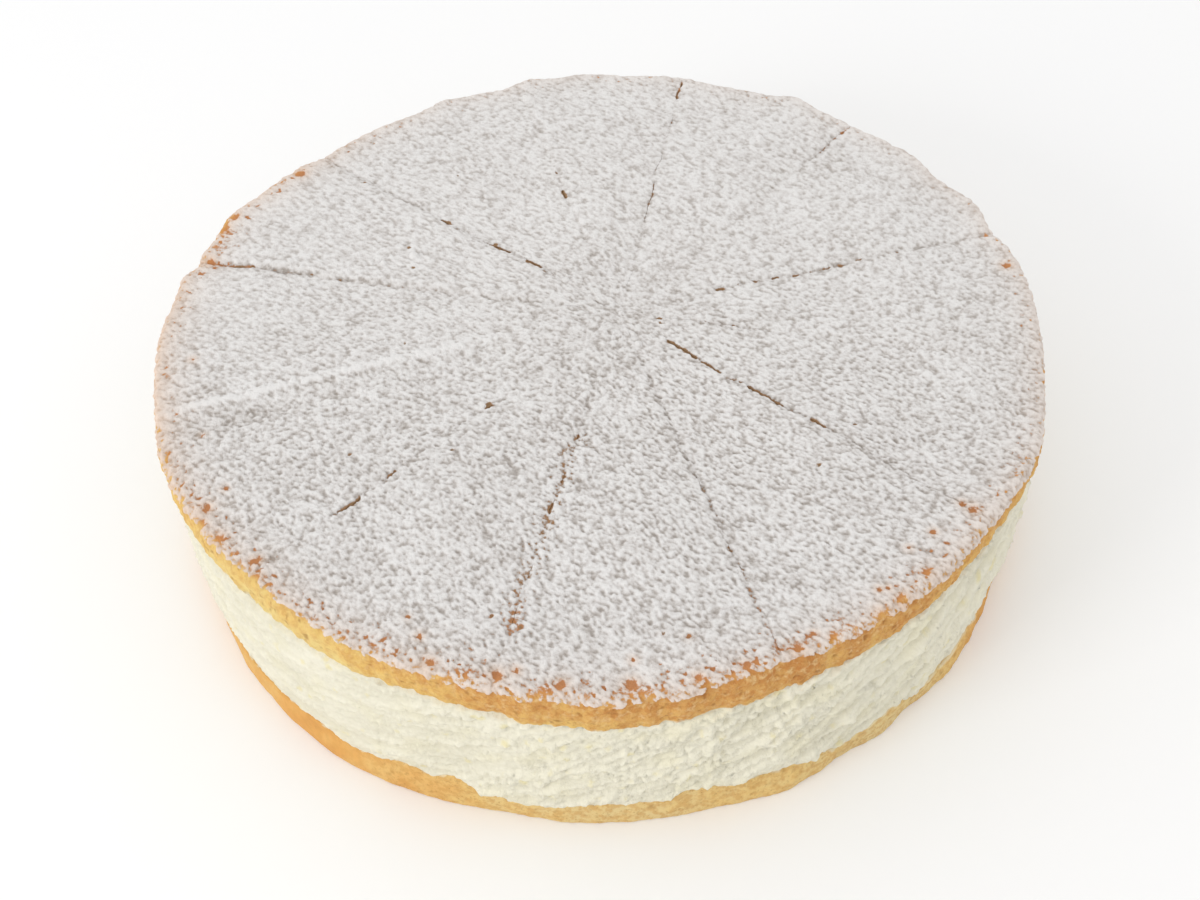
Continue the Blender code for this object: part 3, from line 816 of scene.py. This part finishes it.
def bell(value, middle, half_width):
    """Bell curve, 1 in the middle: e to the minus square of the distance in half widths."""
    return np.exp(-(((value - middle) / half_width) ** 2))


def plain_wedge(cut_before, cut_after):
    """A wedge's skin before its cuts, sugar and crumb, with what they have to know of each
    point. A column is the section, laid along its heading from the cut centre to the
    outline. The top swells, and it tilts from its height at one cut to that at the other.
    Close to a cut it nears the mean of both sides' heights by e to the minus distance."""
    wedge = types.SimpleNamespace(**wedge_section())
    headings = wedge_headings(cut_before.angle, cut_after.angle)
    first, last = headings[0], headings[-1]
    length = ray_to_outline(headings)
    distance = wedge.share * (length - RIM_ROUNDING)
    distance = distance + (wedge.share == 1.0) * (RIM_ROUNDING - wedge.inset)
    grid = np.empty(distance.shape + (3,))
    grid[..., 0] = CUT_CENTRE[0] + distance * np.cos(headings)
    grid[..., 1] = CUT_CENTRE[1] + distance * np.sin(headings)
    tilt = (headings - first) / (last - first) * (cut_after.before - cut_before.after)
    lift = (cut_before.after + tilt) * np.ones_like(distance)
    for cut, own_side, line in (
        (cut_before, cut_before.after, first), (cut_after, cut_after.before, last),
    ):
        off_line = np.abs(distance * np.sin(headings - line))
        both_sides = 0.5 * (cut.before + cut.after)
        lift += (both_sides - own_side) * np.exp(-off_line / (cut.meets_over * MM))
    top = LID_TOP + lift * MM * np.clip(distance / LIFT_FADE, 0.0, 1.0)
    top = top + lid_swell(grid[..., 0], grid[..., 1])
    theta = np.arctan2(grid[..., 1], grid[..., 0])
    rim_line = polar(theta, RING_RADIUS, 0.0)
    foot = through(theta, LID_FOOT) + 0.65 * grain(rim_line, 3.2 * MM, 34)
    foot = foot + 0.45 * grain(rim_line, 1.6 * MM, 35)
    foot = LID_UNDERSIDE + foot * MM * wedge.radial
    grid[..., 2] = foot + wedge.height_share * (top - foot) - wedge.drop
    wedge.grid, wedge.headings, wedge.theta, wedge.foot = grid, headings, theta, foot
    wedge.distance, wedge.inside_rim = distance, length - distance
    wedge.sides = (cut_before, first, 1.0), (cut_after, last, -1.0)
    wedge.on_top = step(wedge.upward, 0.2, 0.9)
    return wedge


def work_cuts(wedge):
    """Works the two cuts into the skin: a bell-shaped groove over each, lips that stand
    apart where it is open, and a wander of three sizes of grain on the cut's bow. Gives
    how bare the skin gets, how brown it is painted at an open cut, partly as painted shade
    of the slit, how much painted shade lies along the grooves and where the cuts meet,
    and how far each cut's lip stands off it."""
    distance, grid = wedge.distance, wedge.grid
    bare = np.zeros_like(distance)
    brown_and_painted_shade = np.zeros_like(distance)
    # Painted shade: the powder is painted darker where the cuts meet.
    painted_shade = 0.12 * bell(distance, 0.0, 25.0 * MM)
    lips = []
    for cut, line, inward in wedge.sides:
        off_line = np.abs(distance * np.sin(wedge.headings - line))
        wander = 0.8 * along_cut(cut.angle, distance, 8.0 * MM, 42)
        wander += 0.35 * along_cut(cut.angle, distance, 3.0 * MM, 44)
        wander += 0.22 * along_cut(cut.angle, distance, 1.5 * MM, 46)
        wander += cut.bow * bell(distance, 42.0 * MM, 20.0 * MM)
        wander *= MM * step(distance, 2.0 * MM, 12.0 * MM)
        lip = 1.0 + inward * 0.35 * along_cut(cut.angle, distance, 1.5 * MM, 45)
        lip = lip * opening(cut.angle, distance)
        shift = inward * lip * np.exp(-off_line / (1.0 * MM))
        shift = shift + wander * np.exp(-off_line / (5.0 * MM))
        grid[..., 0] -= shift * math.sin(line)
        grid[..., 1] += shift * math.cos(line)
        to_rim = step(distance, 60.0 * MM, 125.0 * MM)
        depth = cut.inner_groove + (cut.rim_groove - cut.inner_groove) * to_rim
        depth = depth * MM * (1.0 + 0.6 * along_cut(cut.angle, distance, 6.0 * MM, 43))
        depth = depth * step(distance, 4.0 * MM, 45.0 * MM)
        grid[..., 2] -= wedge.on_top * depth * bell(off_line, 0.0, 1.4 * MM)
        # Painted shade along the groove.
        painted_shade += GROOVE_PAINTED_SHADE * depth / MM * bell(off_line, 0.0, 1.1 * MM)
        is_open = step(lip, 0.04 * MM, 0.16 * MM)
        bare += 0.9 * is_open * bell(off_line, 0.0, 0.50 * MM)
        # The crust painted brown beside an open cut, partly as painted shade of the slit.
        brown_and_painted_shade = np.maximum(brown_and_painted_shade, 0.6 * is_open * bell(off_line, 0.0, 1.0 * MM))
        lips.append(lip)
    return bare, brown_and_painted_shade, painted_shade, lips


def raised_cut(wedge):
    """Height of the raised edge along a cut, with grain along it, and the share, 0 to 1,
    of the shallow hollow beside it: each a bell across the cut, on a stretch of it."""
    turn = wedge.headings - RAISED_CUT
    off_line = wedge.distance * np.sin(turn)
    on_this_side = np.cos(turn) > 0.0
    edge = EDGE_HEIGHT * bell(off_line, EDGE_MIDDLE, EDGE_HALF_WIDTH)
    edge = edge * (1.0 + 0.5 * along_cut(RAISED_CUT, wedge.distance, 7.0 * MM, 47))
    edge = edge * step(wedge.distance, 30.0 * MM, 55.0 * MM) * on_this_side
    hollow = bell(off_line, HOLLOW_MIDDLE, HOLLOW_HALF_WIDTH) * on_this_side
    hollow = hollow * bell(wedge.distance, HOLLOW_DISTANCE, HOLLOW_HALF_LENGTH)
    return edge, hollow


def broken_sugar(wedge):
    """How bare the broken stretches leave the skin: for each its strength, times a bell
    across the cut and a smooth step at its two ends."""
    bare = np.zeros_like(wedge.distance)
    for cut, start, end, spread, strength in BROKEN_SUGAR:
        turn = wedge.headings - math.radians(cut)
        along = step(wedge.distance, (start - 4.0) * MM, (start + 4.0) * MM)
        along = along * (1.0 - step(wedge.distance, (end - 4.0) * MM, (end + 4.0) * MM))
        along = along * (np.cos(turn) > 0.0)
        bare += strength * along * bell(wedge.distance * np.sin(turn), 0.0, spread * MM)
    return bare


def rim_specks(wedge):
    """How bare the skin is near the rim: its table, times two sizes of grain that fade
    inwards and single dots of a third."""
    near_rim = 1.0 - step(wedge.inside_rim, -2.0 * MM, 17.0 * MM)
    uneven = 1.0 + 0.8 * grain(wedge.grid, 8.0 * MM, 57) + 0.6 * grain(wedge.grid, 2.6 * MM, 62)
    dots = step(grain(wedge.grid, DOT_SIZE, 63), 0.30, 0.58)
    dots = dots * (1.0 - step(wedge.inside_rim, 3.0 * MM, 17.0 * MM))
    return through(wedge.theta, RIM_SPECKS) * (0.72 * near_rim * uneven + 1.2 * dots)


def bare_spots(wedge):
    """Each spot where the crust shows as a bell round its middle: how bare they leave the
    skin, how brown the crust is painted away from the rim, partly as painted shade in the
    pit, and how far it stains the sugar round a spot near the rim."""
    bare, brown_and_painted_shade, stained = np.zeros((3, *wedge.distance.shape))
    inland = step(wedge.inside_rim, 9.0 * MM, 22.0 * MM)
    for x, y, radius in BARE_SPOTS:
        apart = np.hypot(wedge.grid[..., 0] - x * MM, wedge.grid[..., 1] - y * MM) / (radius * MM)
        bare += 1.1 * bell(apart, 0.0, 1.05)
        # Away from the rim the spot is painted dark brown, partly as painted shade in the pit.
        brown_and_painted_shade = np.maximum(brown_and_painted_shade, 0.8 * inland * bell(apart, 0.0, 1.0))
        stained = np.maximum(stained, (1.0 - inland) * bell(apart, 0.0, 2.2))
    return bare, brown_and_painted_shade, stained


def caked_crumbs(wedge):
    """Crumbs of caked sugar as half balls: their height and how far they cover the skin."""
    height, cover = np.zeros((2, *wedge.distance.shape))
    for x, y, radius in SUGAR_CRUMBS:
        apart = np.hypot(wedge.grid[..., 0] - x * MM, wedge.grid[..., 1] - y * MM)
        ball = np.sqrt(np.maximum(1.0 - (apart / (radius * MM)) ** 2, 0.0))
        height += 0.8 * radius * MM * ball * wedge.on_top
        cover = np.maximum(cover, step(ball, 0.0, 0.3))
    return height, cover


def dusted_share(wedge):
    """How far the dusting reaches, 1 on top and 0 past its ragged end: its table's distance
    from the crust's edge, with two sizes of grain."""
    below = wedge.drop + (1.0 - wedge.height_share) * (LID_TOP - LID_UNDERSIDE)
    ragged = 1.3 * grain(wedge.grid, 3.2 * MM, 55) + 0.9 * grain(wedge.grid, 1.4 * MM, 56)
    ragged = ragged - through(wedge.theta, SUGAR_STOP)
    from_edge = wedge.inside_rim - 0.8 * np.minimum(below, 8.0 * MM) + ragged * MM
    return step(from_edge, -0.5 * MM, 0.6 * MM) * (wedge.upward > -0.5)


def with_cut_faces(wedge, grid, lips):
    """The skin's grid with the columns of a cut face added on both sides, one below the
    other. The faces of two wedges meet under the skin and stand apart at the bottom."""
    half_angle = 0.5 * (wedge.headings[-1] - wedge.headings[0])
    room = np.minimum(KERF_HALF, 0.3 * wedge.distance[:, :1] * math.sin(half_angle))
    faces = []
    for (_, line, inward), column, lip in zip(wedge.sides, (0, -1), lips):
        beside = inward * np.array((-math.sin(line), math.cos(line), 0.0))
        inwards = -wedge.radial * np.array((math.cos(line), math.sin(line), 0.0))
        inwards = inwards - wedge.upward * np.array((0.0, 0.0, 1.0))
        from_lip = lip[:, column, None] - CLOSED_CUT
        deeper = []
        for depth in CUT_DEPTHS:
            sideways = (room if depth == CUT_DEPTHS[-1] else 0.0) - from_lip
            deeper.append(grid[:, column] + inwards * depth * MM + beside * sideways)
        faces.append(np.stack(deeper, axis=1))
    return np.concatenate((faces[0][:, ::-1], grid, faces[1]), axis=1)


def make_wedge(number, cut_before, cut_after):
    """A wedge with its cuts, the relief of its sugar and crumb along the skin's normal,
    the marks that its finish reads, and its cut faces. It replaces the solid wedge."""
    wedge = plain_wedge(cut_before, cut_after)
    grid, theta, inside_rim = wedge.grid, wedge.theta, wedge.inside_rim
    bare, brown_and_painted_shade, painted_shade, lips = work_cuts(wedge)
    edge, hollow = raised_cut(wedge)
    grid[..., 2] += wedge.on_top * (edge - HOLLOW_DEPTH * hollow)
    normal = np.cross(np.gradient(grid, axis=0), np.gradient(grid, axis=1))
    normal /= np.maximum(np.linalg.norm(normal, axis=-1, keepdims=True), 1e-12)

    # How bare the sugar leaves the crust.
    at_front = step(-grid[..., 1], -60.0 * MM, 70.0 * MM)
    patch = grain(grid, 22.0 * MM, 59) + 0.6 * grain(grid, 9.0 * MM, 60)
    spots_bare, spots_brown_and_painted_shade, stained = bare_spots(wedge)
    crumbs, crumbs_cover = caked_crumbs(wedge)
    bare += broken_sugar(wedge) + rim_specks(wedge) + spots_bare
    bare += (0.05 + 0.07 * patch) * at_front
    bare *= 1.0 - crumbs_cover

    # The relief: heaps of sugar where it lies, crumb and pores where it doesn't.
    coarseness = 0.58 + 0.37 * at_front
    lumps = sugar_lumps(grid)
    heap = (0.66 * lumps * coarseness + 0.20 * grain(grid, 7.0 * MM, 53) + 0.10) * MM + crumbs
    lumps = np.maximum(lumps, crumbs_cover)
    dusted = dusted_share(wedge)
    sugar = 0.55 * lumps + 0.34 - bare - 1.6 * (1.0 - dusted)
    heap = heap * np.clip(sugar * 2.0 + 0.3, 0.0, 1.0)
    pore_relief, pores = crumb_relief(grid, 54)
    skin = dusted * heap + (1.0 - dusted) * pore_relief * 1.7
    skin = skin * (wedge.upward > -0.5)
    above_foot = (grid[..., 2] - wedge.foot) / MM + 1.1 * grain(grid, 2.6 * MM, 61)
    grid = grid + normal * skin[..., None]

    # What the finish reads: one number for each point and mark.
    crust = 0.22 * step(inside_rim, 1.0 * MM, 5.5 * MM)
    crust = crust + 0.30 * step(inside_rim, 12.0 * MM, 40.0 * MM)
    marks = {
        "sugar": sugar,
        # heap: the sugar is painted grey in the hollows between its lumps, more so at the front,
        # partly as thin sugar over the crust and partly as painted shade; painted shade in the
        # hollow beside the raised cut and along the grooves, and a painted highlight on the raised
        # edge, partly whiter sugar.
        "heap": 1.0 - (1.0 - lumps) * (0.35 + 0.65 * coarseness)
        + 0.10 * patch - 0.28 * hollow + 0.9 * edge / MM - painted_shade,
        "toast": through(theta, CRUMB_TOAST) + 0.16 * grain(grid, 4.2 * MM, 58)
        + 0.22 * (wedge.height_share - 0.5),
        "crust": np.maximum(crust, np.maximum(brown_and_painted_shade, spots_brown_and_painted_shade)),
        "browned": step(inside_rim, 0.6 * MM, 3.0 * MM) * step(wedge.upward, 0.55, 0.95),
        "pore": pores * (1.0 - dusted),
        "film": 1.0 - step(above_foot / through(theta, CRUMB_FILM), 0.2, 1.0),
        "tint": through(theta, RIM_TINT) * np.exp(-np.maximum(inside_rim, 0.0) / (5.0 * MM))
        + 0.35 * stained,
    }
    for mark, in_the_cut in CUT_FACE_MARKS.items():
        on_face = np.full((len(grid), len(CUT_DEPTHS)), in_the_cut)
        on_skin = np.broadcast_to(marks[mark], wedge.distance.shape)
        marks[mark] = np.concatenate((on_face, on_skin, on_face), axis=1)
    name = f"lid_wedge_{number:02d}"
    piece = wedge_piece(name + "_sugared", with_cut_faces(wedge, grid, lips), **marks)
    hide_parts(name)
    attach(piece, "root")
    return piece


sugar_finish = Finish("sugared_sponge", 0.9, 0.15)
crumb_tint = sugar_finish.ramp(
    sugar_finish.mark("toast"),
    (0.0, colour(230, 208, 140)),
    (0.35, colour(226, 188, 112)),
    (0.60, colour(215, 166, 98)),
    (1.0, colour(190, 134, 78)),
)
crumb_mottle = sugar_finish.ease(sugar_finish.noise(2.2 * MM, 5.0, 0.7), 0.42, 0.60)
mottle_share = sugar_finish.math("MULTIPLY_ADD", sugar_finish.mark("toast"), 0.70, 0.13)
crumb_mottle = sugar_finish.math("MULTIPLY", crumb_mottle, mottle_share)
crumb_tint = sugar_finish.blend(crumb_mottle, crumb_tint, colour(188, 124, 66))
crumb_pale = sugar_finish.ease(sugar_finish.noise(2.0 * MM, 3.0, 0.65), 0.48, 0.74)
crumb_pale = sugar_finish.math("MULTIPLY", crumb_pale, sugar_finish.mark("toast"))
crumb_tint = sugar_finish.blend(crumb_pale, crumb_tint, colour(232, 200, 146))
for mark, strength, second in (
    ("pore", 0.55, colour(142, 92, 46)), ("film", 0.7, colour(226, 218, 192)),
):
    crumb_tint = sugar_finish.lay_over(crumb_tint, sugar_finish.mark(mark), strength, second)
# The crust from orange at the rim to dark olive brown; its dark end, on the cut faces, at open cuts
# and in pits away from the rim, is in part painted shade.
crust_tint_with_painted_shade = sugar_finish.ramp(
    sugar_finish.mark("crust"),
    (0.0, colour(210, 147, 88)),
    (0.2, colour(189, 131, 88)),
    (0.6, colour(151, 121, 90)),
    (1.0, colour(114, 96, 70)),
)
crust_tint_with_painted_shade = sugar_finish.blend(sugar_finish.mark("browned"), crumb_tint, crust_tint_with_painted_shade)
powder = sugar_finish.noise(0.8 * MM, 3.0, 0.65)
powder_height = sugar_finish.math("MULTIPLY_ADD", powder, 1.5, -0.75)
heap_and_painted_shade = sugar_finish.math("MULTIPLY_ADD", powder_height, 0.65, sugar_finish.mark("heap"))
# The sugar from grey in the hollows to white on the lumps: the grey is partly thin sugar over crust
# and partly painted shade.
sugar_tint_with_painted_shade = sugar_finish.ramp(
    heap_and_painted_shade,
    (0.0, colour(165, 157, 150)),
    (0.30, colour(193, 187, 182)),
    (0.60, colour(216, 212, 209)),
    (1.0, colour(233, 231, 229)),
)
sugar_tint_with_painted_shade = sugar_finish.blend(sugar_finish.mark("tint"), sugar_tint_with_painted_shade, colour(226, 184, 146))
cover = sugar_finish.math("MULTIPLY_ADD", powder_height, 0.8, sugar_finish.mark("sugar"))
cover = sugar_finish.ease(cover, -0.17, 0.18)
lid_tint = sugar_finish.blend(cover, crust_tint_with_painted_shade, sugar_tint_with_painted_shade)
sugar_finish.rough_skin(powder, 0.5 * MM, 1.0)

for number, cut_before in enumerate(CUTS, start=1):
    wedge = make_wedge(number, cut_before, CUTS[number % len(CUTS)])
    sugar_finish.coat(wedge, lid_tint)
